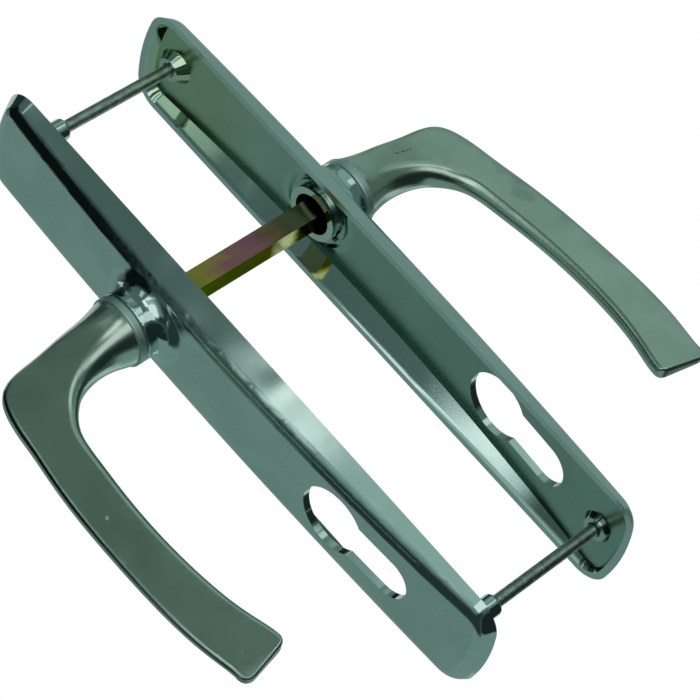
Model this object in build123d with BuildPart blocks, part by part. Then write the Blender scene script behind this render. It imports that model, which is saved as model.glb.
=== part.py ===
"""Door handle set: two hollow cast plates, two levers, a square spindle and two through screws.

Frame: +Z runs up the plates, +Y is the spindle axis from the front plate to the rear plate, and
+X crosses the plates. The origin is on the spindle axis, midway between the plates.
"""
import os
from math import cos, radians, sin

from build123d import *

os.makedirs("parts", exist_ok=True)

# Fixing pattern
fixing_centres = 165.0
cylinder_distance = 70.0
top_screw_z = 55.5
bottom_screw_z = top_screw_z - fixing_centres
door_gap = 46.5
rim_y = door_gap / 2

# Plate shell
end_margin = 10.0
plate_top = top_screw_z + end_margin
plate_bottom = bottom_screw_z - end_margin
plate_width = 35.0
end_radius = 60.0
corner_radius = 8.0
wall_draft = 31.0
wall_thickness = 2.0
floor_thickness = 2.0
edge_round = 4.4
crown_depth = 7.1
crown_z = -18.0
end_depth = 3.0
crown_fall = crown_depth - end_depth
crown_radius = ((crown_z - plate_bottom) ** 2 + crown_fall**2) / (2 * crown_fall)

# Lever boss on the plate
boss_diameter = 18.8
boss_top = 13.6
boss_flare = 5.0
boss_lip = 0.6
bore_diameter = 16.0
recess_diameter = 22.0
recess_depth = 0.9

# Profile cylinder cut-out
cylinder_round = 19.5
cylinder_slot = 13.0
cylinder_length = 35.0

# Screws and their seats
screw_diameter = 3.1
screw_head = 6.9
screw_point = 0.25
screw_play = 0.03
screw_clear = 4.2
head_sink = 0.25
post_diameter = 5.8
post_rise = 12.2
post_round = 1.0
tap_depth = 12.0
screw_bite = 10.5
seat_diameter = 6.8
seat_sink = 0.4
seat_draft = 35.0
drive_width = 0.95
drive_length = 3.6
drive_depth = 1.1

# Lever
lever_turn = 5.2
running_play = 0.05
end_play = 0.2
collar_diameter = 18.9
collar_thickness = 2.4
collar_round = 0.6
hub_proud = 2.4
hub_recess = 11.8
hub_recess_depth = 4.5
tip_flat = 0.2

# Spindle
spindle_size = 6.0
spindle_length = 98.0
spindle_play = 0.075
spindle_chamfer = 0.6
socket_spare = 1.5

# Retaining clip and washer
clip_groove = 14.6
clip_diameter = 18.4
clip_thickness = 0.8
clip_play = 0.05
clip_mouth = 7.0
washer_diameter = 19.4
washer_thickness = 0.6
washer_play = 0.15

# Sections of the neck and grip, from the collar to the tip: distance out from the collar,
# drop below the spindle axis, lean of the path in degrees, depth, thickness and corner radius at
# the inner side, thickness and corner radius at the thinner outer edge
lever_sections = [
    (-1.0, 0.0, 0.0, 17.8, 17.8, 8.5, 17.8, 8.5),
    (2.0, 0.0, 0.0, 16.6, 16.6, 7.8, 16.6, 7.8),
    (6.0, 0.2, 2.0, 14.6, 14.2, 6.2, 13.2, 5.6),
    (13.1, 0.8, 7.0, 13.8, 11.8, 4.8, 9.0, 3.4),
    (20.7, 2.4, 20.0, 15.2, 9.8, 3.8, 5.8, 2.2),
    (27.4, 5.0, 43.0, 18.5, 8.4, 3.3, 4.4, 1.7),
    (29.9, 9.5, 62.0, 16.4, 7.4, 2.9, 3.8, 1.5),
    (31.9, 15.6, 75.0, 13.5, 6.6, 2.6, 3.4, 1.3),
    (33.7, 25.8, 83.0, 12.9, 5.9, 2.3, 3.1, 1.2),
    (35.0, 38.4, 86.5, 12.9, 5.4, 2.1, 2.9, 1.1),
    (35.6, 54.0, 90.0, 13.0, 5.0, 1.95, 2.7, 1.05),
    (35.2, 68.3, 94.0, 13.7, 4.7, 1.8, 2.6, 1.0),
    (33.7, 80.0, 99.0, 14.5, 4.4, 1.7, 2.5, 0.95),
    (31.6, 91.8, 103.0, 15.6, 4.2, 1.6, 2.5, 0.95),
]


def depth_at(z):
    """Height of the crowned face above the rim plane at height z."""
    return crown_depth - crown_radius + (crown_radius**2 - (z - crown_z) ** 2) ** 0.5


# Heights above the front rim plane, all measured outward
face_depth = depth_at(0)
recess_floor = face_depth - floor_thickness + recess_depth
washer_base = recess_floor - washer_play - washer_thickness
clip_base = washer_base - clip_play - clip_thickness
hub_end = face_depth - floor_thickness - hub_proud
collar_base = boss_top + end_play
collar_top = collar_base + collar_thickness
hub_diameter = bore_diameter - 2 * running_play
socket_end = spindle_length / 2 - rim_y + socket_spare

# Working planes: normals point outward from the door, local y is up
rim_plane = Plane(origin=(0, -rim_y, 0), x_dir=(1, 0, 0), z_dir=(0, -1, 0))
hub_plane = rim_plane.offset(hub_end)
drop_axis = Vector(sin(radians(lever_turn)), 0, -cos(radians(lever_turn)))
out_axis = Vector(0, -1, 0)


def rim_outline(inset):
    """Outline of the plate at the rim, moved in by inset, as a list of sketch lines."""
    half = plate_width / 2 - inset
    rise = end_radius - (end_radius**2 - half**2) ** 0.5
    top = plate_top - inset
    bottom = plate_bottom + inset
    ThreePointArc((-half, top - rise), (0, top), (half, top - rise))
    Line((half, top - rise), (half, bottom + rise))
    ThreePointArc((half, bottom + rise), (0, bottom), (-half, bottom + rise))
    Line((-half, bottom + rise), (-half, top - rise))


def crown_outline(drop):
    """Side view of the crowned body, its face lowered by drop, as a list of sketch lines."""
    high = plate_top + end_margin
    low = plate_bottom - end_margin
    a = (-rim_y - depth_at(high) + drop, high)
    b = (-rim_y - crown_depth + drop, crown_z)
    c = (-rim_y - depth_at(low) + drop, low)
    ThreePointArc(a, b, c)
    Polyline(c, (0, low), (0, high), a)


# Hollow of the plate
with BuildPart() as hollow:
    with BuildSketch(rim_plane):
        with BuildLine():
            rim_outline(wall_thickness)
        make_face()
        fillet(vertices(), corner_radius - wall_thickness)
    extrude(amount=crown_depth, taper=wall_draft)
    with BuildSketch(Plane.YZ):
        with BuildLine():
            crown_outline(floor_thickness)
        make_face()
    extrude(amount=plate_width, both=True, mode=Mode.INTERSECT)

# Shell common to both plates: crowned and drafted outside, with the boss, bore and cut-out
with BuildPart() as shell:
    with BuildSketch(rim_plane):
        with BuildLine():
            rim_outline(0)
        make_face()
        fillet(vertices(), corner_radius)
    extrude(amount=crown_depth + edge_round, taper=wall_draft)
    with BuildSketch(Plane.YZ):
        with BuildLine():
            crown_outline(0)
        make_face()
    extrude(amount=plate_width, both=True, mode=Mode.INTERSECT)
    fillet(shell.faces().sort_by(Axis.Y)[0].edges(), edge_round)
    with BuildSketch(rim_plane.offset(face_depth / 2)):
        Circle(boss_diameter / 2)
    extrude(amount=boss_top - face_depth / 2)
    boss_wall = shell.faces().filter_by(GeomType.CYLINDER).sort_by(SortBy.RADIUS)[0]
    fillet(boss_wall.edges().sort_by(Axis.Y)[-1], boss_flare)
    fillet(shell.faces().sort_by(Axis.Y)[0].edges(), boss_lip)
    add(hollow.part, mode=Mode.SUBTRACT)
    with BuildSketch(rim_plane):
        Circle(recess_diameter / 2)
    extrude(amount=recess_floor, mode=Mode.SUBTRACT)
    with BuildSketch(rim_plane):
        Circle(bore_diameter / 2)
    extrude(amount=boss_top, mode=Mode.SUBTRACT)
    with BuildSketch(rim_plane):
        slot_end = cylinder_round / 2 - cylinder_length + cylinder_slot / 2
        with Locations((0, -cylinder_distance)):
            Circle(cylinder_round / 2)
        with Locations((0, -cylinder_distance + slot_end)):
            Circle(cylinder_slot / 2)
        with Locations((0, -cylinder_distance + slot_end / 2)):
            Rectangle(cylinder_slot, -slot_end)
    extrude(amount=crown_depth, mode=Mode.SUBTRACT)

# Front plate: the shell with two tapped posts
with BuildPart() as front_plate:
    add(shell.part)
    for post_z in (top_screw_z, bottom_screw_z):
        post_base = depth_at(post_z) - floor_thickness / 2
        post_end = Plane(origin=(0, -rim_y + post_rise, post_z), x_dir=(1, 0, 0), z_dir=(0, -1, 0))
        with BuildSketch(post_end):
            Circle(post_diameter / 2)
        extrude(amount=post_rise + post_base)
    fillet(front_plate.faces().sort_by(Axis.Y)[-2:].edges(), post_round)
    for post_z in (top_screw_z, bottom_screw_z):
        post_end = Plane(origin=(0, -rim_y + post_rise, post_z), x_dir=(1, 0, 0), z_dir=(0, -1, 0))
        with BuildSketch(post_end):
            Circle(screw_diameter / 2 + screw_play)
        extrude(amount=tap_depth, mode=Mode.SUBTRACT)
front_plate.part.label = "front_plate"
export_step(front_plate.part, "parts/front_plate.step")

# Rear plate: the shell turned about, with conical screw seats and countersunk holes
with BuildPart() as rear_plate:
    add(shell.part.rotate(Axis.Z, 180))
    for seat_z in (top_screw_z, bottom_screw_z):
        seat_height = depth_at(seat_z) - floor_thickness / 2 - seat_sink
        seat = Plane(origin=(0, rim_y + seat_sink, seat_z), x_dir=(1, 0, 0), z_dir=(0, 1, 0))
        with BuildSketch(seat):
            Circle(seat_diameter / 2)
        extrude(amount=seat_height, taper=-seat_draft)
    for seat_z in (top_screw_z, bottom_screw_z):
        sink = (screw_head - screw_diameter) / 2
        head_top = rim_y + depth_at(seat_z) - head_sink
        seat = Plane(origin=(0, head_top, seat_z), x_dir=(1, 0, 0), z_dir=(0, 1, 0))
        with BuildSketch(seat):
            Circle(screw_clear / 2)
        extrude(amount=depth_at(seat_z), both=True, mode=Mode.SUBTRACT)
        with BuildSketch(seat):
            Circle(screw_head / 2 + head_sink)
        extrude(amount=floor_thickness, mode=Mode.SUBTRACT)
        with BuildSketch(seat):
            Circle(screw_head / 2 + head_sink)
        extrude(amount=-sink, taper=45, mode=Mode.SUBTRACT)
rear_plate.part.label = "rear_plate"
export_step(rear_plate.part, "parts/rear_plate.step")

# Front lever: the neck and grip lofted through the listed sections, then the collar and hub
with BuildPart() as front_lever:
    for out, drop, lean, depth, thickness, corner, edge, edge_corner in lever_sections:
        centre = out_axis * (rim_y + collar_top + out) + drop_axis * drop
        along = out_axis * cos(radians(lean)) + drop_axis * sin(radians(lean))
        across = drop_axis * cos(radians(lean)) - out_axis * sin(radians(lean))
        with BuildSketch(Plane(origin=centre, x_dir=across, z_dir=along)):
            with BuildLine():
                a = (depth / 2, thickness / 2)
                b = (-depth / 2, edge / 2)
                Polyline(a, b, (b[0], -b[1]), (a[0], -a[1]), close=True)
            make_face()
            fillet(vertices().group_by(Axis.X)[0], edge_corner)
            fillet(vertices().group_by(Axis.X)[-1], corner)
    loft()
    tip = front_lever.faces().filter_by(GeomType.PLANE).sort_by(Axis.Z)[0]
    fillet(tip.edges(), lever_sections[-1][-1] - tip_flat)
    with BuildSketch(Plane.XY):
        with Locations((0, -rim_y - collar_top)):
            Rectangle(collar_diameter / 2, collar_thickness, align=Align.MIN)
        fillet(vertices().group_by(Axis.X)[-1], collar_round)
        with Locations((0, -rim_y - collar_top + collar_thickness / 2)):
            Rectangle(hub_diameter / 2, collar_top - collar_thickness / 2 - hub_end, align=Align.MIN)
    revolve(axis=Axis.Y)
    with BuildSketch(rim_plane.offset(clip_base - clip_play)):
        Circle(hub_diameter / 2)
        Circle(clip_groove / 2, mode=Mode.SUBTRACT)
    extrude(amount=clip_thickness + 2 * clip_play, mode=Mode.SUBTRACT)
    with BuildSketch(hub_plane):
        Circle(hub_recess / 2)
    extrude(amount=hub_recess_depth, mode=Mode.SUBTRACT)
    with BuildSketch(hub_plane):
        Rectangle(spindle_size + 2 * spindle_play, spindle_size + 2 * spindle_play, rotation=lever_turn)
    extrude(amount=socket_end - hub_end, mode=Mode.SUBTRACT)
front_lever.part.label = "front_lever"
export_step(front_lever.part, "parts/front_lever.step")

# Rear lever: the mirror image of the front lever
with BuildPart() as rear_lever:
    add(front_lever.part.mirror(Plane.XZ))
rear_lever.part.label = "rear_lever"
export_step(rear_lever.part, "parts/rear_lever.step")

# Square spindle, turned with the levers
with BuildPart() as spindle:
    with BuildSketch(Plane(origin=(0, spindle_length / 2, 0), x_dir=(1, 0, 0), z_dir=(0, -1, 0))):
        Rectangle(spindle_size, spindle_size, rotation=lever_turn)
    extrude(amount=spindle_length)
    spindle_ends = spindle.faces().sort_by(Axis.Y)
    chamfer(spindle_ends[0].edges() + spindle_ends[-1].edges(), spindle_chamfer)
spindle.part.label = "spindle"
export_step(spindle.part, "parts/spindle.step")

# Through screws: countersunk heads with a cross recess, each threaded into its own post
for screw_name, screw_z in (("top_screw", top_screw_z), ("bottom_screw", bottom_screw_z)):
    head_top = rim_y + depth_at(screw_z) - head_sink
    shank_end = -rim_y + post_rise - screw_bite
    screw_plane = Plane(origin=(0, head_top, screw_z), x_dir=(1, 0, 0), z_dir=(0, -1, 0))
    with BuildPart() as screw:
        with BuildSketch(screw_plane):
            Circle(screw_head / 2)
        extrude(amount=(screw_head - screw_diameter) / 2, taper=45)
        with BuildSketch(screw_plane):
            Circle(screw_diameter / 2)
        extrude(amount=head_top - shank_end)
        chamfer(screw.faces().sort_by(Axis.Y)[0].edges(), screw_point)
        with BuildSketch(screw_plane):
            Rectangle(drive_length, drive_width)
            Rectangle(drive_width, drive_length)
        extrude(amount=drive_depth, mode=Mode.SUBTRACT)
    screw.part.label = screw_name
    export_step(screw.part, f"parts/{screw_name}.step")

# Retaining clip in the groove of the front hub, open at one side
with BuildPart() as front_clip:
    with BuildSketch(rim_plane.offset(clip_base)):
        Circle(clip_diameter / 2)
        Circle(clip_groove / 2 + clip_play, mode=Mode.SUBTRACT)
        with Locations((0, -clip_diameter / 2)):
            Rectangle(clip_mouth, clip_diameter, mode=Mode.SUBTRACT)
    extrude(amount=clip_thickness)
front_clip.part.label = "front_clip"
export_step(front_clip.part, "parts/front_clip.step")

# Retaining clip of the rear hub
with BuildPart() as rear_clip:
    add(front_clip.part.mirror(Plane.XZ))
rear_clip.part.label = "rear_clip"
export_step(rear_clip.part, "parts/rear_clip.step")

# Flat washer between the front clip and its plate
with BuildPart() as front_washer:
    with BuildSketch(rim_plane.offset(washer_base)):
        Circle(washer_diameter / 2)
        Circle(bore_diameter / 2 + washer_play, mode=Mode.SUBTRACT)
    extrude(amount=washer_thickness)
front_washer.part.label = "front_washer"
export_step(front_washer.part, "parts/front_washer.step")

# Flat washer of the rear plate
with BuildPart() as rear_washer:
    add(front_washer.part.mirror(Plane.XZ))
rear_washer.part.label = "rear_washer"
export_step(rear_washer.part, "parts/rear_washer.step")
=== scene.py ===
# %% [markdown]
# Door handle set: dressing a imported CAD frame
#
# The set is two hollow cast plates joined by two long screws, with a lever on each plate and a
# square spindle between the levers. The CAD frame already holds every solid at its real size,
# so this lesson gives it a camera, a small studio, and a finish for each metal. Only the screw
# threads and the rounded corners of the lever tips are shapes of its own.

# %% Load the frame
from math import pi, radians

import bmesh
import bpy
import numpy as np
from mathutils import Matrix, Vector


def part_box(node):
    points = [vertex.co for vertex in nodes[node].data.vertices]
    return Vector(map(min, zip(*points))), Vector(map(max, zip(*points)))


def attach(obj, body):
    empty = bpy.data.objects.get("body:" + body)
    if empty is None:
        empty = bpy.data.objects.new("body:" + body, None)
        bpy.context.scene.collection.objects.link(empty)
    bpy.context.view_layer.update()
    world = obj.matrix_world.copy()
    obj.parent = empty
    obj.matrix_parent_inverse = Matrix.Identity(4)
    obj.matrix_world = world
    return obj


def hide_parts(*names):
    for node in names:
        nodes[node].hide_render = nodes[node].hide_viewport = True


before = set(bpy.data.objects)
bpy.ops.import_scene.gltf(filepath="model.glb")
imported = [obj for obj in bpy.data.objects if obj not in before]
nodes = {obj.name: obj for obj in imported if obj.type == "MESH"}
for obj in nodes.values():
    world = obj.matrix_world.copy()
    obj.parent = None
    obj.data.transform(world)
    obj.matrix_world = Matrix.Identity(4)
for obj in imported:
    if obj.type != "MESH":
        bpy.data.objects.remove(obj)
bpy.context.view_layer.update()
scene = bpy.context.scene
scene.view_settings.view_transform = "Standard"
MM = 0.001
print("nodes:", sorted(nodes))

# %% [markdown]
# The camera
#
# The photograph looks slightly up at the set from its right, with the picture turned so that
# the plates run from corner to corner. A camera could be aimed at a target, but a place, a view
# direction and a roll say the same in three values that can be changed one at a time. The lens
# is long, so the plates stay nearly parallel.

# %% Camera
CAMERA_PLACE = Vector((0.5725, -0.3426, -0.2269))
VIEW_DIRECTION = Vector((-0.82105, 0.50118, 0.27331))
CAMERA_ROLL = radians(-42.5)
LENS_MM = 144
SENSOR_MM = 36
NEAREST_SEEN = 0.01

camera_data = bpy.data.cameras.new("camera")
camera_data.lens = LENS_MM
camera_data.sensor_width = SENSOR_MM
camera_data.clip_start = NEAREST_SEEN
camera = bpy.data.objects.new("camera", camera_data)
scene.collection.objects.link(camera)
aim = VIEW_DIRECTION.to_track_quat("-Z", "Y").to_matrix().to_4x4()
camera.matrix_world = Matrix.Translation(CAMERA_PLACE) @ aim @ Matrix.Rotation(CAMERA_ROLL, 4, "Z")
scene.camera = camera
print("camera at", tuple(round(v, 3) for v in CAMERA_PLACE))


# %% [markdown]
# Helpers for node trees
#
# Every finish below is a node tree. Trees can be drawn by hand in the shader editor, but a script
# can be read and changed line by line. One helper adds a node, sets its properties and fills its
# inputs with either a number or a link, so that a tree reads as a list of steps.

# %% Node helpers
def add(tree, kind, inputs=None, **properties):
    """Adds one node; inputs maps a socket name or number to a value or to an output socket."""
    made = tree.nodes.new(kind)
    for name, value in properties.items():
        setattr(made, name, value)
    for name, value in (inputs or {}).items():
        if isinstance(value, bpy.types.NodeSocket):
            tree.links.new(value, made.inputs[name])
        else:
            made.inputs[name].default_value = value
    return made


def math(tree, operation, first, second=0.0):
    """One arithmetic step on two values."""
    return add(tree, "ShaderNodeMath", {0: first, 1: second}, operation=operation).outputs[0]


def times(tree, first, second):
    """The product of two values; of two masks, where both hold."""
    return math(tree, "MULTIPLY", first, second)


def plus(tree, first, second):
    """The sum of two values."""
    return math(tree, "ADD", first, second)


print("arithmetic helpers ready")


# %% Blending helpers
def ramp(tree, value, start, end, low=0.0, high=1.0):
    """A smooth step from low at start to high at end; start may be the larger of the two."""
    ends = {"Value": value, "From Min": start, "From Max": end, "To Min": low, "To Max": high}
    return add(tree, "ShaderNodeMapRange", ends, interpolation_type="SMOOTHSTEP").outputs[0]


def blend_values(tree, factor, first, second):
    """The first value where factor is 0, the second where it is 1."""
    sockets = {0: factor, 2: first, 3: second}
    return add(tree, "ShaderNodeMix", sockets, data_type="FLOAT").outputs[0]


def blend_colours(tree, factor, first, second, mode="MIX"):
    """The first colour where factor is 0; where it is 1 the second, or their product."""
    sockets = {0: factor, 6: first, 7: second}
    mixed = add(tree, "ShaderNodeMix", sockets, data_type="RGBA", blend_type=mode)
    return mixed.outputs[2]


def noise(tree, vector, scale, detail=2.0, distortion=0.0):
    """Cloud-like values round 0.5, with about scale features to the metre."""
    sockets = {"Vector": vector, "Scale": scale, "Detail": detail, "Distortion": distortion}
    return add(tree, "ShaderNodeTexNoise", sockets).outputs[0]


print("blending helpers ready")

# %% [markdown]
# The studio
#
# The photograph has a pure white background. A white backdrop could stand behind the set, but it
# would have to move with the view, so the room is a white world instead. The camera and the
# reflections see it fully white, and its other light is a little greyer. A pale floor well below
# the set shows in views from above.

# %% World
ROOM_GREY = (0.8, 0.8, 0.8, 1)
ROOM_WHITE = (1, 1, 1, 1)

world = bpy.data.worlds.new("white_room")
scene.world = world
world.use_nodes = True
tree = world.node_tree
tree.nodes.clear()
path = add(tree, "ShaderNodeLightPath")
seen = math(tree, "MAXIMUM", path.outputs["Is Camera Ray"], path.outputs["Is Glossy Ray"])
seen = math(tree, "MAXIMUM", seen, path.outputs["Is Transmission Ray"])
room = add(tree, "ShaderNodeBackground", {"Color": ROOM_GREY, "Strength": 1.0})
white = add(tree, "ShaderNodeBackground", {"Color": ROOM_WHITE, "Strength": 1.0})
shown = add(tree, "ShaderNodeMixShader", {0: seen, 1: room.outputs[0], 2: white.outputs[0]})
add(tree, "ShaderNodeOutputWorld", {"Surface": shown.outputs[0]})
print("world:", world.name)

# %% Floor
FLOOR_Z = -0.27
FLOOR_SIZE = 8.0
FLOOR_COLOUR = (0.86, 0.87, 0.86, 1)
FLOOR_ROUGHNESS = 0.9

floor_material = bpy.data.materials.new("pale_floor")
floor_material.use_nodes = True
floor_shader = floor_material.node_tree.nodes["Principled BSDF"]
floor_shader.inputs["Base Color"].default_value = FLOOR_COLOUR
floor_shader.inputs["Roughness"].default_value = FLOOR_ROUGHNESS
half = FLOOR_SIZE / 2
corners = [(x * half, y * half, FLOOR_Z) for x, y in ((-1, -1), (1, -1), (1, 1), (-1, 1))]
floor_mesh = bpy.data.meshes.new("floor")
floor_mesh.from_pydata(corners, [], [(0, 1, 2, 3)])
floor_mesh.materials.append(floor_material)
floor = bpy.data.objects.new("floor", floor_mesh)
scene.collection.objects.link(floor)
print("floor at", FLOOR_Z)

# %% [markdown]
# The reflection tent
#
# Polished metal has hardly any colour of its own: it shows what stands round it. A photographer
# puts a cloth tent with grey, black and white panels round it. Single cards could stand in for
# the panels, but here the tent is one grid of directions, and numpy paints the panels on it as
# soft-edged patches of azimuth and elevation, so a panel is moved by changing two numbers. Only
# reflections see the tent, so the picture keeps its white background. Where a panel is white, the
# cloth is left open and the white room shows.

# %% Tent panels
CLOTH_LEVEL = 0.14
# Each panel: azimuths from +X toward +Y, elevations, width of its soft edges both ways, level
PANELS = {
    "zenith": ((-180, 180), (60, 120), (16, 16), 0.03),
    "zenith_right": ((20, 70), (52, 75), (10, 10), 0.20),
    "nadir": ((-180, 180), (-120, -42), (12, 12), 0.02),
    "left": ((-200, -128), (-85, 45), (8, 8), 0.26),
    "front_flag": ((-138, -46), (18, 70), (8, 8), 0.006),
    "front_low": ((-138, -46), (-40, 14), (8, 8), 0.035),
    "wall_top": ((-54, -10), (17, 50), (20, 2), 0.12),
    "wall_patch": ((-46, -14), (25.9, 34), (2, 0.6), 0.52),
    "wall_low": ((-62, -10), (-20, 12.6), (40, 2), 0.42),
    "wall_white": ((-60, -12), (13.0, 15.8), (36, 1.2), 1.0),
    "right": ((-8, 30), (14, 45), (6, 6), 0.13),
    "right_back": ((30, 60), (-5, 45), (8, 8), 0.34),
    "back": ((66, 165), (-10, 45), (8, 8), 0.28),
    "under_back": ((125, 170), (-36, -18), (8, 6), 0.6),
    "boss_side": ((18, 40), (-8, 9), (4, 4), 0.7),
    "edge_lamp": ((-52, -12), (-26, 5), (6, 3), 0.9),
    "lamp_low": ((-28, 27), (-36, -12), (5, 5), 1.0),
    "lamp_side": ((-17, -2), (1, 16), (3, 3), 1.0),
}


def painted(azimuth, elevation):
    """Level in each direction: panels laid one over another, soft edges centred on their borders."""
    level = np.full(azimuth.shape, CLOTH_LEVEL)
    for (left, right), (low, high), (soft_side, soft_end), tone in PANELS.values():
        aside = np.abs((azimuth - (left + right) / 2 + 180) % 360 - 180) - (right - left) / 2
        beyond = np.abs(elevation - (low + high) / 2) - (high - low) / 2
        cover = np.clip(0.5 - aside / soft_side, 0, 1) * np.clip(0.5 - beyond / soft_end, 0, 1)
        level += (tone - level) * cover
    return level


print("panels:", list(PANELS))

# %% Tent mesh
TENT_RADIUS = 2.0
TENT_STEPS = (361, 359)
TENT_POLE = 89.5
CLOTH_GAP = 0.01
CLOTH_Z = FLOOR_Z + CLOTH_GAP
CLOTH_TINT = np.array((0.62, 1.0, 0.93))
OPEN_LEVEL = 0.999
LEAST_DROP = 1e-6


def toward(azimuth, elevation):
    """Unit vectors at azimuths from +X toward +Y and elevations above the horizon, in degrees."""
    a = np.radians(azimuth)
    e = np.radians(elevation)
    return np.stack([np.cos(e) * np.cos(a), np.cos(e) * np.sin(a), np.sin(e)], axis=-1)


def tent():
    """Radius = the tent's, or less where the ground cloth is nearer; white faces are left out."""
    azimuths = np.linspace(-180, 180, TENT_STEPS[0])
    elevations = np.linspace(-TENT_POLE, TENT_POLE, TENT_STEPS[1])
    azimuth, elevation = np.meshgrid(azimuths, elevations, indexing="ij")
    ray = toward(azimuth, elevation)
    to_cloth = np.minimum(TENT_RADIUS, CLOTH_Z / np.minimum(ray[..., 2], -LEAST_DROP))
    radius = np.where(ray[..., 2] < 0, to_cloth, TENT_RADIUS)
    level = painted(azimuth, elevation)[..., None]
    glow = level * CLOTH_TINT ** (1 - level)
    index = np.arange(azimuth.size).reshape(azimuth.shape)
    around = [index[:-1, :-1], index[1:, :-1], index[1:, 1:], index[:-1, 1:]]
    faces = np.stack(around, axis=-1).reshape(-1, 4)
    faces = faces[level.reshape(-1)[faces].min(axis=1) < OPEN_LEVEL]
    mesh = bpy.data.meshes.new("reflection_tent")
    mesh.from_pydata((ray * radius[..., None]).reshape(-1, 3).tolist(), [], faces.tolist())
    colours = np.concatenate([glow, np.ones_like(level)], axis=-1)
    mesh.attributes.new("glow", "FLOAT_COLOR", "POINT").data.foreach_set("color", colours.ravel())
    return mesh


tent_mesh = tent()
print("tent faces:", len(tent_mesh.polygons))

# %% Tent cloth
tent_material = bpy.data.materials.new("tent_cloth")
tent_material.use_nodes = True
tree = tent_material.node_tree
tree.nodes.clear()
path = add(tree, "ShaderNodeLightPath")
clear = add(tree, "ShaderNodeBsdfTransparent")
paint = add(tree, "ShaderNodeAttribute", attribute_name="glow").outputs["Color"]
glow = add(tree, "ShaderNodeEmission", {"Color": paint, "Strength": 1.0})
reflected = path.outputs["Is Glossy Ray"]
cloth = add(tree, "ShaderNodeMixShader", {0: reflected, 1: clear.outputs[0], 2: glow.outputs[0]})
add(tree, "ShaderNodeOutputMaterial", {"Surface": cloth.outputs[0]})
tent_mesh.materials.append(tent_material)
tent_object = bpy.data.objects.new("reflection_tent", tent_mesh)
scene.collection.objects.link(tent_object)
print("tent made of", tent_material.name)

# %% [markdown]
# The softbox
#
# One large, weak lamp stands high behind the set, opposite the camera. A small lamp would draw
# hard spots on the metal, so this one is a wide square, aimed at the middle of the set.

# %% Softbox
LAMP_AZIMUTH = 149
LAMP_ELEVATION = 60
LAMP_DISTANCE = 1.4
LAMP_SIZE = 0.9
LAMP_POWER = 1.2

lamp_direction = Vector(toward(LAMP_AZIMUTH, LAMP_ELEVATION))
lamp_data = bpy.data.lights.new("softbox", "AREA")
lamp_data.shape = "SQUARE"
lamp_data.size = LAMP_SIZE
lamp_data.energy = LAMP_POWER
lamp = bpy.data.objects.new("softbox", lamp_data)
scene.collection.objects.link(lamp)
lamp_turn = (-lamp_direction).to_track_quat("-Z", "Y").to_matrix().to_4x4()
lamp.matrix_world = Matrix.Translation(lamp_direction * LAMP_DISTANCE) @ lamp_turn
print("softbox at", tuple(round(v, 2) for v in lamp.location))

# %% [markdown]
# Shared effects
#
# A casting is never quite flat: under its plating the walls carry slow waves, and the satin face
# has a fine grain. Handling leaves hairlines and single marks. They could be painted on by hand,
# but noise and distances on the object's own coordinates cover every side at once. Each effect is
# a node group that is built once and placed with its own sizes.

# %% Cast surface
VECTOR = "NodeSocketVector"
VALUE = "NodeSocketFloat"
CAST_CLOUDS = 45.0


def new_group(name, inputs, outputs):
    """An empty group with value or vector inputs and value outputs, and its two end nodes."""
    group = bpy.data.node_groups.new(name, "ShaderNodeTree")
    for socket, kind in inputs.items():
        group.interface.new_socket(name=socket, in_out="INPUT", socket_type=kind)
    for socket in outputs:
        group.interface.new_socket(name=socket, in_out="OUTPUT", socket_type=VALUE)
    return group, add(group, "NodeGroupInput"), add(group, "NodeGroupOutput")


def build_cast_surface():
    """Waves: slow height of the casting. Grain: fine satin height. Clouds: slow change of tone."""
    inputs = {"Vector": VECTOR, "Wave scale": VALUE, "Grain scale": VALUE}
    group, given, result = new_group("cast_surface", inputs, ["Waves", "Grain", "Clouds"])
    place = given.outputs["Vector"]
    waves = noise(group, place, given.outputs["Wave scale"], detail=1.0, distortion=0.4)
    grain = noise(group, place, given.outputs["Grain scale"], detail=3.0)
    clouds = noise(group, place, CAST_CLOUDS, detail=4.0, distortion=0.8)
    for socket, value in (("Waves", waves), ("Grain", grain), ("Clouds", clouds)):
        group.links.new(value, result.inputs[socket])
    return group


CAST_SURFACE = build_cast_surface()
print("group:", CAST_SURFACE.name)

# %% Hairlines
HAIRLINE_TURN = (radians(4), radians(-3), radians(8))
HAIRLINE_STRETCH = (1.0, 0.05, 0.05)
HAIRLINE_SCALE = 2600.0
HAIRLINE_PEAK = 0.78
HAIRLINE_REACH = 0.2
HAIRLINE_SOFTNESS = 0.06


def build_hairlines():
    """Thin lines: noise stretched twentyfold two ways, with only its peaks kept."""
    inputs = {"Vector": VECTOR, "Amount": VALUE}
    group, given, result = new_group("hairlines", inputs, ["Mask"])
    mapping = {"Vector": given.outputs["Vector"], "Rotation": HAIRLINE_TURN, "Scale": HAIRLINE_STRETCH}
    stretched = add(group, "ShaderNodeMapping", mapping).outputs[0]
    lines = noise(group, stretched, HAIRLINE_SCALE)
    reach = times(group, given.outputs["Amount"], HAIRLINE_REACH)
    over = math(group, "SUBTRACT", lines, math(group, "SUBTRACT", HAIRLINE_PEAK, reach))
    group.links.new(ramp(group, over, 0.0, HAIRLINE_SOFTNESS), result.inputs["Mask"])
    return group


HAIRLINES = build_hairlines()
print("group:", HAIRLINES.name)

# %% Marks
MARK_CORE = 0.5
MARK_END = 1.2


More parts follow.
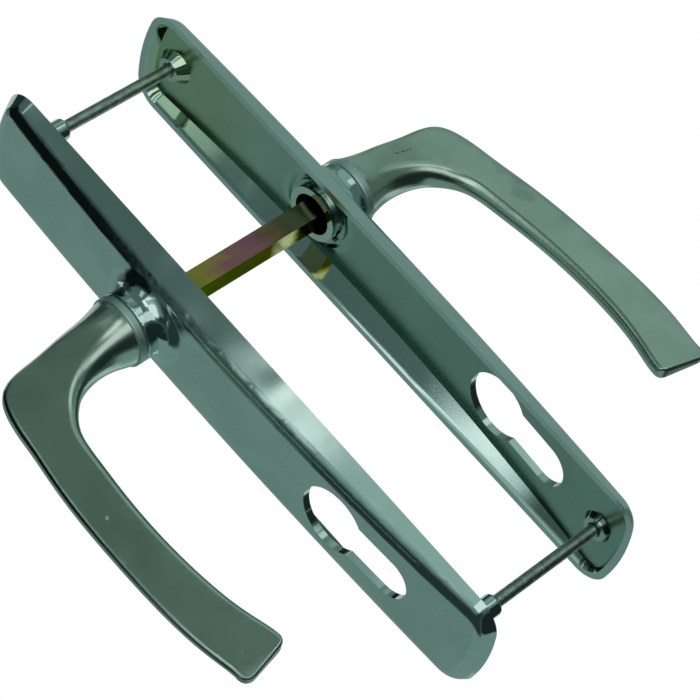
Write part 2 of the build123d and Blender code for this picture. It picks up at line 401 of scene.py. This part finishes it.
def build_mark():
    """1 within half a Width of the segment from Start to End, fading to 0 at 1.2 Widths."""
    inputs = {"Vector": VECTOR, "Start": VECTOR, "End": VECTOR, "Width": VALUE}
    group, given, result = new_group("mark", inputs, ["Mask"])
    place, start, end = (given.outputs[name] for name in ("Vector", "Start", "End"))

    def vector(operation, first, second):
        """One step on two vectors."""
        return add(group, "ShaderNodeVectorMath", {0: first, 1: second}, operation=operation)

    run = vector("SUBTRACT", end, start).outputs[0]
    offset = vector("SUBTRACT", place, start).outputs[0]
    ahead = vector("DOT_PRODUCT", offset, run).outputs["Value"]
    length = vector("DOT_PRODUCT", run, run).outputs["Value"]
    share = add(group, "ShaderNodeClamp", {"Value": math(group, "DIVIDE", ahead, length)}).outputs[0]
    nearest = add(group, "ShaderNodeVectorMath", {0: run, "Scale": share}, operation="SCALE").outputs[0]
    distance = vector("DISTANCE", offset, nearest).outputs["Value"]
    relative = math(group, "DIVIDE", distance, given.outputs["Width"])
    group.links.new(ramp(group, relative, MARK_CORE, MARK_END, 1.0, 0.0), result.inputs["Mask"])
    return group


MARK = build_mark()
print("group:", MARK.name)

# %% [markdown]
# Bare metal
#
# Every piece of the set is metal, so the finishes start from one bare metal and differ in colour,
# roughness and bumps. These helpers make that start, place a shared effect, and tell where on a
# piece a point lies. The place and the direction of the surface give all masks below, so none has
# to be painted by hand.

# %% Material helpers
NOISE_SPAN = (0.3, 0.7)
CLOUD_SPAN = (0.35, 0.7)
LINE_ROUGHNESS = 0.08


def new_metal(name):
    """A material with a bare metal shader; returns it, its tree, its shader and object coordinates."""
    material = bpy.data.materials.new(name)
    material.use_nodes = True
    tree = material.node_tree
    shader = tree.nodes["Principled BSDF"]
    shader.inputs["Metallic"].default_value = 1.0
    place = add(tree, "ShaderNodeTexCoord").outputs["Object"]
    return material, tree, shader, place


def use_group(tree, group, inputs):
    """Places a group in a tree and returns its outputs."""
    return add(tree, "ShaderNodeGroup", inputs, node_tree=group).outputs


def bump(tree, height, distance, strength=1.0, normal=None):
    """Turns a height between 0 and 1 into a normal; distance is its full height in metres."""
    inputs = {"Height": height, "Distance": distance, "Strength": strength}
    if normal is not None:
        inputs["Normal"] = normal
    return add(tree, "ShaderNodeBump", inputs).outputs[0]


def connect(tree, shader, links):
    """Links values to sockets of the shader by name."""
    for name, value in links.items():
        tree.links.new(value, shader.inputs[name])


print("metal helpers ready")


# %% Bearings
def bearings(tree, place):
    """The place along each axis, the distance from the spindle axis, and how far a face looks to +Y."""
    parts = add(tree, "ShaderNodeSeparateXYZ", {0: place}).outputs
    flat = add(tree, "ShaderNodeCombineXYZ", {"X": parts["X"], "Y": parts["Z"]}).outputs[0]
    radius = add(tree, "ShaderNodeVectorMath", {0: flat}, operation="LENGTH").outputs["Value"]
    normal = add(tree, "ShaderNodeTexCoord").outputs["Normal"]
    facing = add(tree, "ShaderNodeSeparateXYZ", {0: normal}).outputs["Y"]
    return parts, radius, facing


def looking_out(tree, facing, y):
    """1 on a face that looks straight away from the middle of the set, -1 on one that looks to it."""
    return times(tree, facing, math(tree, "SIGN", y))


print("bearings ready")

# %% [markdown]
# Plate finish
#
# The plates are cast, polished and plated, then the broad face is dulled to a satin. Walls,
# roundings and the boss stay brighter than the face. The direction of the surface tells face from
# wall. In the picture the hollows mirror the tent a little higher than straight walls would, and
# are darker toward their lower ends. So their shading leans slightly, painted shade darkens the
# hollow's floor and the lower ends of its walls, and the upper hollow is tinted olive.

# %% Plate masks
BOSS_RADIUS = 11.5 * MM
BOSS_FADE = 2 * MM
WALL_LEVEL = (0.994, 0.985)
FLOOR_LEVEL = (0.85, 0.95)
INWARD_LOOK = (-0.1, -0.3)
HOLLOW_DEPTH = (23.4 * MM, 24.4 * MM)


def plate_masks(tree, place):
    """Masks of the polished parts and of the hollow, its floor and its walls; height up the plate."""
    parts, radius, facing = bearings(tree, place)
    level = math(tree, "ABSOLUTE", facing)
    inward = ramp(tree, looking_out(tree, facing, parts["Y"]), *INWARD_LOOK)
    inside = times(tree, inward, ramp(tree, math(tree, "ABSOLUTE", parts["Y"]), *HOLLOW_DEPTH))
    boss = ramp(tree, radius, BOSS_RADIUS + BOSS_FADE, BOSS_RADIUS)
    bright = math(tree, "MAXIMUM", ramp(tree, level, *WALL_LEVEL), boss)
    base = times(tree, inside, ramp(tree, level, *FLOOR_LEVEL))
    wall = math(tree, "SUBTRACT", inside, base)
    return {"bright": bright, "inside": inside, "base": base, "wall": wall, "height": parts["Z"]}


print("boss radius:", BOSS_RADIUS)

# %% Plate colour
PLATE_LIGHT = (0.68, 0.87, 0.80, 1)
PLATE_DARK = (0.60, 0.79, 0.72, 1)
# Painted shade on the hollow's floor, deeper toward its lower end.
UPPER_FLOOR_PAINTED_SHADE = (0.76, 0.80, 0.74, 1)
LOWER_FLOOR_PAINTED_SHADE = (0.56, 0.65, 0.59, 1)
# Painted shade at the lower ends of the hollow's walls.
WALL_END_PAINTED_SHADE = (0.18, 0.20, 0.19, 1)
OLIVE_TINT = (0.92, 0.94, 0.72, 1)
FLOOR_SHADE_HEIGHTS = (-10 * MM, 25 * MM)
WALL_SHADE_HEIGHTS = (-84 * MM, -94 * MM)
OLIVE_HEIGHTS = (20 * MM, 42 * MM)


def plate_colour(tree, clouds, masks):
    """Cloudy green-grey; painted shade on the hollow's floor and lower wall ends; olive up the hollow.
    """
    height = masks["height"]
    colour = blend_colours(tree, ramp(tree, clouds, *CLOUD_SPAN), PLATE_LIGHT, PLATE_DARK)
    # Painted shade on the hollow's floor, deeper lower down.
    hollow_floor_shade = blend_colours(tree, ramp(tree, height, *FLOOR_SHADE_HEIGHTS), LOWER_FLOOR_PAINTED_SHADE, UPPER_FLOOR_PAINTED_SHADE)
    colour = blend_colours(tree, masks["base"], colour, hollow_floor_shade, "MULTIPLY")
    # Painted shade at the lower ends of the walls.
    shade = times(tree, masks["wall"], ramp(tree, height, *WALL_SHADE_HEIGHTS))
    colour = blend_colours(tree, shade, colour, WALL_END_PAINTED_SHADE, "MULTIPLY")
    upper = times(tree, masks["inside"], ramp(tree, height, *OLIVE_HEIGHTS))
    return blend_colours(tree, upper, colour, OLIVE_TINT, "MULTIPLY")


print("plate colours from", PLATE_DARK[:3], "to", PLATE_LIGHT[:3])

# %% Plate surface
FACE_ROUGHNESS = (0.20, 0.28)
WALL_ROUGHNESS = (0.06, 0.11)
HOLLOW_POLISH = 0.03
HOLLOW_CALM = 0.6
INNER_LEAN = (0.0, 0.0, 0.0332)
PLATE_WAVE_HEIGHT = 0.35 * MM
PLATE_GRAIN_HEIGHT = 0.003 * MM


def plate_roughness(tree, surface, lines, masks):
    """Satin on the face, polish on walls and boss, and rougher along the hairlines."""
    satin = ramp(tree, surface["Grain"], *NOISE_SPAN, *FACE_ROUGHNESS)
    polish = ramp(tree, surface["Clouds"], *NOISE_SPAN, *WALL_ROUGHNESS)
    polish = math(tree, "SUBTRACT", polish, times(tree, masks["inside"], HOLLOW_POLISH))
    rough = blend_values(tree, masks["bright"], satin, polish)
    return plus(tree, rough, times(tree, lines, LINE_ROUGHNESS))


def plate_normal(tree, surface, inside):
    """The surface's own direction, leaning up inside the hollow, with slow waves and fine grain."""
    scaled = {0: INNER_LEAN, "Scale": inside}
    lean = add(tree, "ShaderNodeVectorMath", scaled, operation="SCALE").outputs[0]
    straight = add(tree, "ShaderNodeNewGeometry").outputs["Normal"]
    leaning = add(tree, "ShaderNodeVectorMath", {0: straight, 1: lean}, operation="ADD").outputs[0]
    calm = math(tree, "SUBTRACT", 1.0, times(tree, inside, HOLLOW_CALM))
    wavy = bump(tree, surface["Waves"], PLATE_WAVE_HEIGHT, calm, leaning)
    return bump(tree, surface["Grain"], PLATE_GRAIN_HEIGHT, 1.0, wavy)


print("plate roughness: face", FACE_ROUGHNESS, "walls", WALL_ROUGHNESS)

# %% Plate material
PLATE_WAVES = 34.0
PLATE_GRAIN = 5200.0
PLATE_HAIRLINES = 0.2


def plate_finish():
    """Satin on the broad face, polish elsewhere, and a tinted hollow."""
    material, tree, shader, place = new_metal("plate_satin")
    sizes = {"Vector": place, "Wave scale": PLATE_WAVES, "Grain scale": PLATE_GRAIN}
    surface = use_group(tree, CAST_SURFACE, sizes)
    lines = use_group(tree, HAIRLINES, {"Vector": place, "Amount": PLATE_HAIRLINES})["Mask"]
    masks = plate_masks(tree, place)
    colour = plate_colour(tree, surface["Clouds"], masks)
    rough = plate_roughness(tree, surface, lines, masks)
    normal = plate_normal(tree, surface, masks["inside"])
    connect(tree, shader, {"Base Color": colour, "Roughness": rough, "Normal": normal})
    return material


PLATE_SATIN = plate_finish()
print("made", PLATE_SATIN.name)

# %% [markdown]
# Lever finish
#
# The levers are the same metal with a blasted satin on the grip, a polished hub and a matte
# collar. Painted shade darkens the grip's outer edge a little and the hub's bore much more. The
# picture shows a short dark scratch on the rear neck, a faint smudge on the rear grip and a bright
# fleck on the front one. A picture could be wrapped round the lever for these, but three short
# strokes at their places on the metal are enough.

# %% Lever marks
# Each mark: start, end and width of its stroke, in millimetres
MARKS_MM = {
    "scratch": ((4.8, 53.9, 0.6), (3.9, 59.8, -0.5), 0.3),
    "smudge": ((4.6, 74.4, -26.8), (4.7, 76.0, -29.2), 2.2),
    "fleck": ((5.6, -76.0, -40.0), (5.6, -76.3, -40.4), 0.42),
}


def in_metres(point):
    """A point in metres, from one in millimetres."""
    return tuple(value * MM for value in point)


def lever_marks(tree, place):
    """The mask of each mark, by name."""
    masks = {}
    for name, (start, end, width) in MARKS_MM.items():
        stroke = {"Start": in_metres(start), "End": in_metres(end), "Width": width * MM}
        masks[name] = use_group(tree, MARK, {"Vector": place, **stroke})["Mask"]
    return masks


print("marks:", list(MARKS_MM))

# %% Lever masks
HUB_END = 36.9 * MM
COLLAR_END = 39.6 * MM
STEP_FADE = 0.2 * MM
BORE_RADIUS = 5.9 * MM
BORE_FADE = 0.1 * MM
EDGE_LOOK = (0.45, 0.75)
EDGE_START = (60 * MM, 66 * MM)


def lever_masks(tree, place):
    """Masks of the hub, its bore, the collar's ring and the grip's outer edge; height."""
    parts, radius, facing = bearings(tree, place)
    away = math(tree, "ABSOLUTE", parts["Y"])
    collar = ramp(tree, away, COLLAR_END, COLLAR_END - STEP_FADE)
    hub = ramp(tree, away, HUB_END, HUB_END - STEP_FADE)
    bore = times(tree, hub, ramp(tree, radius, BORE_RADIUS + BORE_FADE, BORE_RADIUS))
    outward = looking_out(tree, facing, parts["Y"])
    edge = times(tree, ramp(tree, outward, *EDGE_LOOK), ramp(tree, away, *EDGE_START))
    ring = math(tree, "SUBTRACT", collar, hub)
    return {"hub": hub, "bore": bore, "ring": ring, "edge": edge, "height": parts["Z"]}


print("collar from", HUB_END, "to", COLLAR_END)

# %% Lever colour
LEVER_LIGHT = (0.70, 0.86, 0.73, 1)
LEVER_DARK = (0.60, 0.75, 0.63, 1)
SCRATCH_COLOUR = (0.03, 0.06, 0.05, 1)
SMUDGE_COLOUR = (0.16, 0.28, 0.2, 1)
FLECK_COLOUR = (0.85, 1.0, 0.93, 1)
# Painted shade: the hub's bore darkened nearly to black.
BORE_PAINTED_SHADE = (0.05, 0.06, 0.05, 1)
# Painted shade: the grip's outer edge darkened a little.
OUTER_EDGE_PAINTED_SHADE = (0.80, 0.82, 0.80, 1)
COLLAR_COLOUR = (0.78, 1.0, 0.92, 1)
BREAK_SCALE = 620.0
BREAK_SPAN = (0.40, 0.56)
SCRATCH_STRENGTH = (0.15, 0.75)
SMUDGE_STRENGTH = 0.15


def lever_colour(tree, place, clouds, marks, masks):
    """Cloudy green-grey, the marks, painted shade in the bore and on the outer edge, the pale collar.
    """
    colour = blend_colours(tree, ramp(tree, clouds, *CLOUD_SPAN), LEVER_LIGHT, LEVER_DARK)
    breaks = noise(tree, place, BREAK_SCALE, detail=1.0)
    broken = times(tree, marks["scratch"], ramp(tree, breaks, *BREAK_SPAN, *SCRATCH_STRENGTH))
    colour = blend_colours(tree, broken, colour, SCRATCH_COLOUR)
    faint = times(tree, marks["smudge"], SMUDGE_STRENGTH)
    colour = blend_colours(tree, faint, colour, SMUDGE_COLOUR)
    colour = blend_colours(tree, marks["fleck"], colour, FLECK_COLOUR)
    # Painted shade in the hub's bore.
    colour = blend_colours(tree, masks["bore"], colour, BORE_PAINTED_SHADE)
    # Painted shade along the grip's outer edge.
    colour = blend_colours(tree, masks["edge"], colour, OUTER_EDGE_PAINTED_SHADE, "MULTIPLY")
    return blend_colours(tree, masks["ring"], colour, COLLAR_COLOUR)


print("lever colours from", LEVER_DARK[:3], "to", LEVER_LIGHT[:3])

# %% Lever roughness
GRIP_ROUGHNESS = (0.19, 0.27)
COLLAR_ROUGHNESS = 0.55
HUB_ROUGHNESS = 0.08
SMUDGE_ROUGHNESS = 0.1
FLECK_ROUGHNESS = 0.5
TIP_HEIGHTS = (-89.0 * MM, -91.5 * MM)
TIP_ROUGHNESS = 0.15


def lever_roughness(tree, grain, lines, marks, masks):
    """Satin grip, matte collar, polished hub; rougher on hairlines, smudge, fleck and lowest tip."""
    rough = ramp(tree, grain, *NOISE_SPAN, *GRIP_ROUGHNESS)
    rough = blend_values(tree, masks["ring"], rough, COLLAR_ROUGHNESS)
    rough = blend_values(tree, masks["hub"], rough, HUB_ROUGHNESS)
    rough = plus(tree, rough, times(tree, lines, LINE_ROUGHNESS))
    rough = plus(tree, rough, times(tree, marks["smudge"], SMUDGE_ROUGHNESS))
    rough = plus(tree, rough, times(tree, marks["fleck"], FLECK_ROUGHNESS))
    return plus(tree, rough, ramp(tree, masks["height"], *TIP_HEIGHTS, 0.0, TIP_ROUGHNESS))


print("lever roughness: grip", GRIP_ROUGHNESS, "hub", HUB_ROUGHNESS)

# %% Lever material
LEVER_WAVES = 60.0
LEVER_GRAIN = 4200.0
LEVER_HAIRLINES = 0.3
LEVER_WAVE_HEIGHT = 0.12 * MM
LEVER_GRAIN_HEIGHT = 0.01 * MM


def lever_finish():
    """Blasted satin with a polished hub, a matte collar and three marks."""
    material, tree, shader, place = new_metal("lever_satin")
    sizes = {"Vector": place, "Wave scale": LEVER_WAVES, "Grain scale": LEVER_GRAIN}
    surface = use_group(tree, CAST_SURFACE, sizes)
    lines = use_group(tree, HAIRLINES, {"Vector": place, "Amount": LEVER_HAIRLINES})["Mask"]
    marks = lever_marks(tree, place)
    masks = lever_masks(tree, place)
    colour = lever_colour(tree, place, surface["Clouds"], marks, masks)
    rough = lever_roughness(tree, surface["Grain"], lines, marks, masks)
    wavy = bump(tree, surface["Waves"], LEVER_WAVE_HEIGHT)
    fine = bump(tree, surface["Grain"], LEVER_GRAIN_HEIGHT, 1.0, wavy)
    connect(tree, shader, {"Base Color": colour, "Roughness": rough, "Normal": fine})
    return material


LEVER_SATIN = lever_finish()
print("made", LEVER_SATIN.name)

# %% [markdown]
# Spindle finish
#
# The square bar is zinc plated and yellow passivated. The passivation is so thin that it shows
# bands of olive, straw, mauve and brown, like oil on water. A thin-film shader could work the
# colours out, but here the place along the bar, shifted by a slow noise, picks a colour from a
# list, so each band is about where the picture has it. The lower face takes a darker list of its
# own, painted shade with a pale painted highlight near the rear end and deeper painted shade at
# the very end. Fine lines along the bar are left from drawing it.

# %% Spindle bands
PASSIVATED_BANDS = [
    (0.00, (0.48, 0.46, 0.05, 1)),
    (0.25, (0.66, 0.52, 0.10, 1)),
    (0.45, (0.60, 0.26, 0.24, 1)),
    (0.62, (0.55, 0.20, 0.28, 1)),
    (0.80, (0.34, 0.20, 0.10, 1)),
    (1.00, (0.30, 0.27, 0.15, 1)),
]
# Lower face: painted shade, a painted pale highlight near the rear end, deeper painted shade at the
# end.
LOWER_BANDS_SHADE_AND_HIGHLIGHT = [
    (0.00, (0.10, 0.14, 0.02, 1)),
    (0.50, (0.08, 0.12, 0.06, 1)),
    (0.76, (0.12, 0.11, 0.04, 1)),
    (0.86, (1.00, 0.95, 0.62, 1)),
    (0.92, (0.90, 0.82, 0.50, 1)),
    (0.97, (0.04, 0.04, 0.03, 1)),
]


def banded(tree, position, stops):
    """Colours picked from a list of stops by a value from 0 to 1."""
    bands = add(tree, "ShaderNodeValToRGB", {"Fac": position})
    elements = bands.color_ramp.elements
    elements.remove(elements[1])
    elements[0].position, elements[0].color = stops[0]
    for stop, colour in stops[1:]:
        elements.new(stop).color = colour
    return bands.outputs["Color"]


print("bands:", len(PASSIVATED_BANDS), "and", len(LOWER_BANDS_SHADE_AND_HIGHLIGHT))

# %% Spindle material
BAR_SPAN = (-24.0 * MM, 24.0 * MM)
BAR_CLOUDS = 70.0
NOISE_MIDDLE = 0.5
SIDE_SHIFT = 0.7
LOWER_SHIFT = 0.06
LOWER_LOOK = (-0.6, -0.8)
DRAWN_STRETCH = (1.0, 0.03, 1.0)
DRAWN_SCALE = 1800.0
DRAWN_HEIGHT = 0.004 * MM
BAR_ROUGHNESS = (0.18, 0.28)
BAR_GLINT = (0.45, 0.45, 0.18, 1)


def spindle_finish():
    """Bands along the bar, painted shade and highlight on its lower face, and fine drawn lines."""
    material, tree, shader, place = new_metal("yellow_passivated")
    along = add(tree, "ShaderNodeSeparateXYZ", {0: place}).outputs["Y"]
    clouds = noise(tree, place, BAR_CLOUDS, detail=3.0, distortion=0.6)
    shift = math(tree, "SUBTRACT", clouds, NOISE_MIDDLE)
    position = ramp(tree, along, *BAR_SPAN)
    side = banded(tree, plus(tree, position, times(tree, shift, SIDE_SHIFT)), PASSIVATED_BANDS)
    lower = banded(tree, plus(tree, position, times(tree, shift, LOWER_SHIFT)), LOWER_BANDS_SHADE_AND_HIGHLIGHT)
    normal = add(tree, "ShaderNodeTexCoord").outputs["Normal"]
    upward = add(tree, "ShaderNodeSeparateXYZ", {0: normal}).outputs["Z"]
    # The lower face takes the list with painted shade and highlight.
    colour = blend_colours(tree, ramp(tree, upward, *LOWER_LOOK), side, lower)
    drawn = add(tree, "ShaderNodeMapping", {"Vector": place, "Scale": DRAWN_STRETCH}).outputs[0]
    streaks = noise(tree, drawn, DRAWN_SCALE)
    rough = ramp(tree, streaks, *NOISE_SPAN, *BAR_ROUGHNESS)
    fine = bump(tree, streaks, DRAWN_HEIGHT)
    connect(tree, shader, {"Base Color": colour, "Roughness": rough, "Normal": fine})
    shader.inputs["Specular Tint"].default_value = BAR_GLINT
    return material


YELLOW_PASSIVATED = spindle_finish()
print("made", YELLOW_PASSIVATED.name)

# %% [markdown]
# Small steel
#
# Screws, clips and washers are plain steel. The screws are zinc plated, paler and duller, and the
# clips and washers are smoother and darker from oil. The two finishes differ only in colours and
# roughness, so one function makes both.

# %% Steel materials
STEEL_PATCHES = 500.0
STEEL_GRAIN = 6000.0
STEEL_GRAIN_HEIGHT = 0.006 * MM
ZINC_LIGHT = (0.80, 0.92, 0.82, 1)
ZINC_DARK = (0.52, 0.62, 0.54, 1)
ZINC_ROUGHNESS = (0.28, 0.45)
OIL_LIGHT = (0.62, 0.74, 0.70, 1)
OIL_DARK = (0.45, 0.56, 0.52, 1)
OIL_ROUGHNESS = (0.16, 0.3)


def steel_finish(name, light, dark, roughness):
    """Patches between two tones, and a fine grain."""
    material, tree, shader, place = new_metal(name)
    sizes = {"Vector": place, "Wave scale": STEEL_PATCHES, "Grain scale": STEEL_GRAIN}
    surface = use_group(tree, CAST_SURFACE, sizes)
    colour = blend_colours(tree, ramp(tree, surface["Waves"], *NOISE_SPAN), light, dark)
    rough = ramp(tree, surface["Grain"], *NOISE_SPAN, *roughness)
    normal = bump(tree, surface["Grain"], STEEL_GRAIN_HEIGHT)
    connect(tree, shader, {"Base Color": colour, "Roughness": rough, "Normal": normal})
    return material


SCREW_ZINC = steel_finish("screw_zinc", ZINC_LIGHT, ZINC_DARK, ZINC_ROUGHNESS)
OILED_STEEL = steel_finish("oiled_steel", OIL_LIGHT, OIL_DARK, OIL_ROUGHNESS)
print("made", SCREW_ZINC.name, OILED_STEEL.name)

# %% [markdown]
# Screw threads
#
# The CAD screws are plain rods at the pitch diameter. A thread is a ridge that climbs one pitch
# for each turn. A profile could be spun round the screw, but the radius depends on one thing
# only: the height along the screw less the share of a turn, counted in pitches. A triangle wave
# of that value, on a grid of angles and heights, gives the whole thread at once.

# %% Threads
THREAD_PITCH = 0.6 * MM
THREAD_CREST = 1.73 * MM
THREAD_ROOT = 1.42 * MM
ROWS_PER_PITCH = 6
ANGLE_STEPS = 24


def thread(name, low, high, centre_z):
    """Radius = root + depth times a triangle wave of (y / pitch - share of a turn).

    The depth fades to none over one pitch at both ends, and the axis lies along Y at centre_z.
    """
    rows = int(round((high - low) / THREAD_PITCH * ROWS_PER_PITCH)) + 1
    shares = np.arange(ANGLE_STEPS) / ANGLE_STEPS
    y, share = np.meshgrid(np.linspace(low, high, rows), shares, indexing="ij")
    phase = np.mod(y / THREAD_PITCH - share, 1.0)
    wave = 1.0 - np.abs(2.0 * phase - 1.0)
    fade = np.clip(np.minimum(y - low, high - y) / THREAD_PITCH, 0.0, 1.0)
    radius = THREAD_ROOT + (THREAD_CREST - THREAD_ROOT) * wave * fade
    turn = 2.0 * pi * share
    points = np.stack([radius * np.cos(turn), y, centre_z + radius * np.sin(turn)], axis=-1)
    index = np.arange(rows * ANGLE_STEPS).reshape(rows, ANGLE_STEPS)
    beside = np.roll(index, -1, axis=1)
    sides = np.stack([index[:-1], index[1:], beside[1:], beside[:-1]], axis=-1).reshape(-1, 4)
    faces = sides.tolist() + [index[0].tolist(), index[-1][::-1].tolist()]
    mesh = bpy.data.meshes.new(name)
    mesh.from_pydata(points.reshape(-1, 3).tolist(), [], faces)
    mesh.materials.append(SCREW_ZINC)
    made = bpy.data.objects.new(name, mesh)
    scene.collection.objects.link(made)
    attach(made, "plates")
    return made


print("thread pitch:", THREAD_PITCH)

# %% Place the threads
TIP_ALLOWANCE = 0.3 * MM
HEAD_ALLOWANCE = 3.0 * MM

for screw_name in ("top_screw", "bottom_screw"):
    lowest, highest = (Vector(corner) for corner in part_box(screw_name))
    low = lowest.y + TIP_ALLOWANCE
    high = highest.y - HEAD_ALLOWANCE
    made = thread(screw_name + "_thread", low, high, (lowest.z + highest.z) / 2)
    print(made.name, len(made.data.polygons), "faces")

# %% [markdown]
# Lever tips
#
# The real castings end in rounded corners, where the CAD levers are cut straight across with
# only a small edge rounding. A bevel would need the right edges picked, so a copy of each lever
# is pulled in at both corners of its tip instead. The pull depends on two distances alone, back
# from the end and aside from the middle, so one formula moves every point at once. On its outer
# side the grip spreads toward its end, so points there also move in as they move back. The
# corners are sliced more finely first, or the round would show flats.

# %% Slices for the tips
LEVER_TURN = radians(5.2)
TIP_LEAN = radians(103)
TIP_CORNER = 3.0 * MM
TIP_LENGTH = 9.0 * MM
END_DEPTH = 2.0 * MM
MERGE_DISTANCE = 0.001 * MM
CORNER_SLICES = 7


def coordinates(mesh):
    """All points of a mesh as rows of x, y and z."""
    flat = np.empty(len(mesh.vertices) * 3, np.float32)
    mesh.vertices.foreach_get("co", flat)
    return flat.reshape(-1, 3).astype(float)


def tip_axes(outward):
    """Unit vectors along the tip to its end, and across it from its outer to its inner side."""
    out_axis = np.array((0.0, outward, 0.0))
    drop_axis = np.array((np.sin(LEVER_TURN), 0.0, -np.cos(LEVER_TURN)))
    along = out_axis * np.cos(TIP_LEAN) + drop_axis * np.sin(TIP_LEAN)
    across = drop_axis * np.cos(TIP_LEAN) - out_axis * np.sin(TIP_LEAN)
    return along, across


def slice_tip(solid, along, limit, across, places):
    """Cuts the faces beyond limit by planes square to across, at the given places."""
    for place in places:
        faces = [face for face in solid.faces if face.calc_center_median().dot(along) > limit]
        edges = {edge for face in faces for edge in face.edges}
        points = {point for face in faces for point in face.verts}
        cut = faces + list(edges) + list(points)
        bmesh.ops.bisect_plane(solid, geom=cut, plane_co=across * place, plane_no=across)


def sliced_copy(name, along, across, end, middle, straight):
    """A merged copy of a CAD lever, sliced at its corners in equal steps of the round's angle."""
    solid = bmesh.new()
    solid.from_mesh(nodes[name].data)
    bmesh.ops.remove_doubles(solid, verts=solid.verts, dist=MERGE_DISTANCE)
    asides = straight + TIP_CORNER * np.sin(np.linspace(0, pi / 2, CORNER_SLICES, endpoint=False))
    places = np.concatenate([middle - asides, middle + asides])
    slice_tip(solid, Vector(along), end - TIP_LENGTH, Vector(across), places)
    mesh = bpy.data.meshes.new(name + "_rounded")
    solid.to_mesh(mesh)
    solid.free()
    return mesh


print("tip corners:", TIP_CORNER, "in", CORNER_SLICES, "slices")

# %% Rounded tips
OUTER_FLARE = 0.13
SHARP_ANGLE = radians(40)


def rounded_lever(name, outward):
    """Pull at the end = corner - root(corner squared - aside squared), fading to none up the grip."""
    along, across = tip_axes(outward)
    points = coordinates(nodes[name].data)
    end = (points @ along).max()
    widths = points[points @ along > end - END_DEPTH] @ across
    middle = (widths.min() + widths.max()) / 2
    straight = (widths.max() - widths.min()) / 2 - TIP_CORNER
    mesh = sliced_copy(name, along, across, end, middle, straight)
    points = coordinates(mesh)
    back = end - points @ along
    sideways = points @ across - middle
    flare = np.where(sideways < 0, OUTER_FLARE, 0.0)
    aside = np.clip(np.abs(sideways) + flare * back - straight, 0, TIP_CORNER)
    pull = TIP_CORNER - np.sqrt(TIP_CORNER**2 - aside**2)
    fade = np.clip(1 - back / TIP_LENGTH, 0, 1) ** 2
    points += (pull * fade)[:, None] * (flare[:, None] * across - along)
    mesh.vertices.foreach_set("co", points.astype(np.float32).ravel())
    if "custom_normal" in mesh.attributes:
        mesh.attributes.remove(mesh.attributes["custom_normal"])
    mesh.shade_smooth()
    mesh.set_sharp_from_angle(angle=SHARP_ANGLE)
    mesh.materials.clear()
    mesh.materials.append(LEVER_SATIN)
    made = bpy.data.objects.new(name + "_rounded", mesh)
    scene.collection.objects.link(made)
    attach(made, "handle")
    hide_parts(name)
    return made


for lever_name, outward in (("front_lever", -1.0), ("rear_lever", 1.0)):
    made = rounded_lever(lever_name, outward)
    print(made.name, len(made.data.polygons), "faces")

# %% [markdown]
# Dress the frame
#
# Each CAD node keeps its mesh and takes the finish of its piece. A list by name could be avoided
# by reading each node's slot, but it shows at a glance which piece has which finish. The two CAD
# levers are in it too, though their rounded copies stand in for them.

# %% Assign the finishes
FINISHES = {
    "front_plate": PLATE_SATIN,
    "rear_plate": PLATE_SATIN,
    "front_lever": LEVER_SATIN,
    "rear_lever": LEVER_SATIN,
    "spindle": YELLOW_PASSIVATED,
    "top_screw": SCREW_ZINC,
    "bottom_screw": SCREW_ZINC,
    "front_clip": OILED_STEEL,
    "rear_clip": OILED_STEEL,
    "front_washer": OILED_STEEL,
    "rear_washer": OILED_STEEL,
}
for node_name, finish in FINISHES.items():
    for slot in nodes[node_name].material_slots:
        slot.material = finish
print("dressed", len(FINISHES), "nodes")
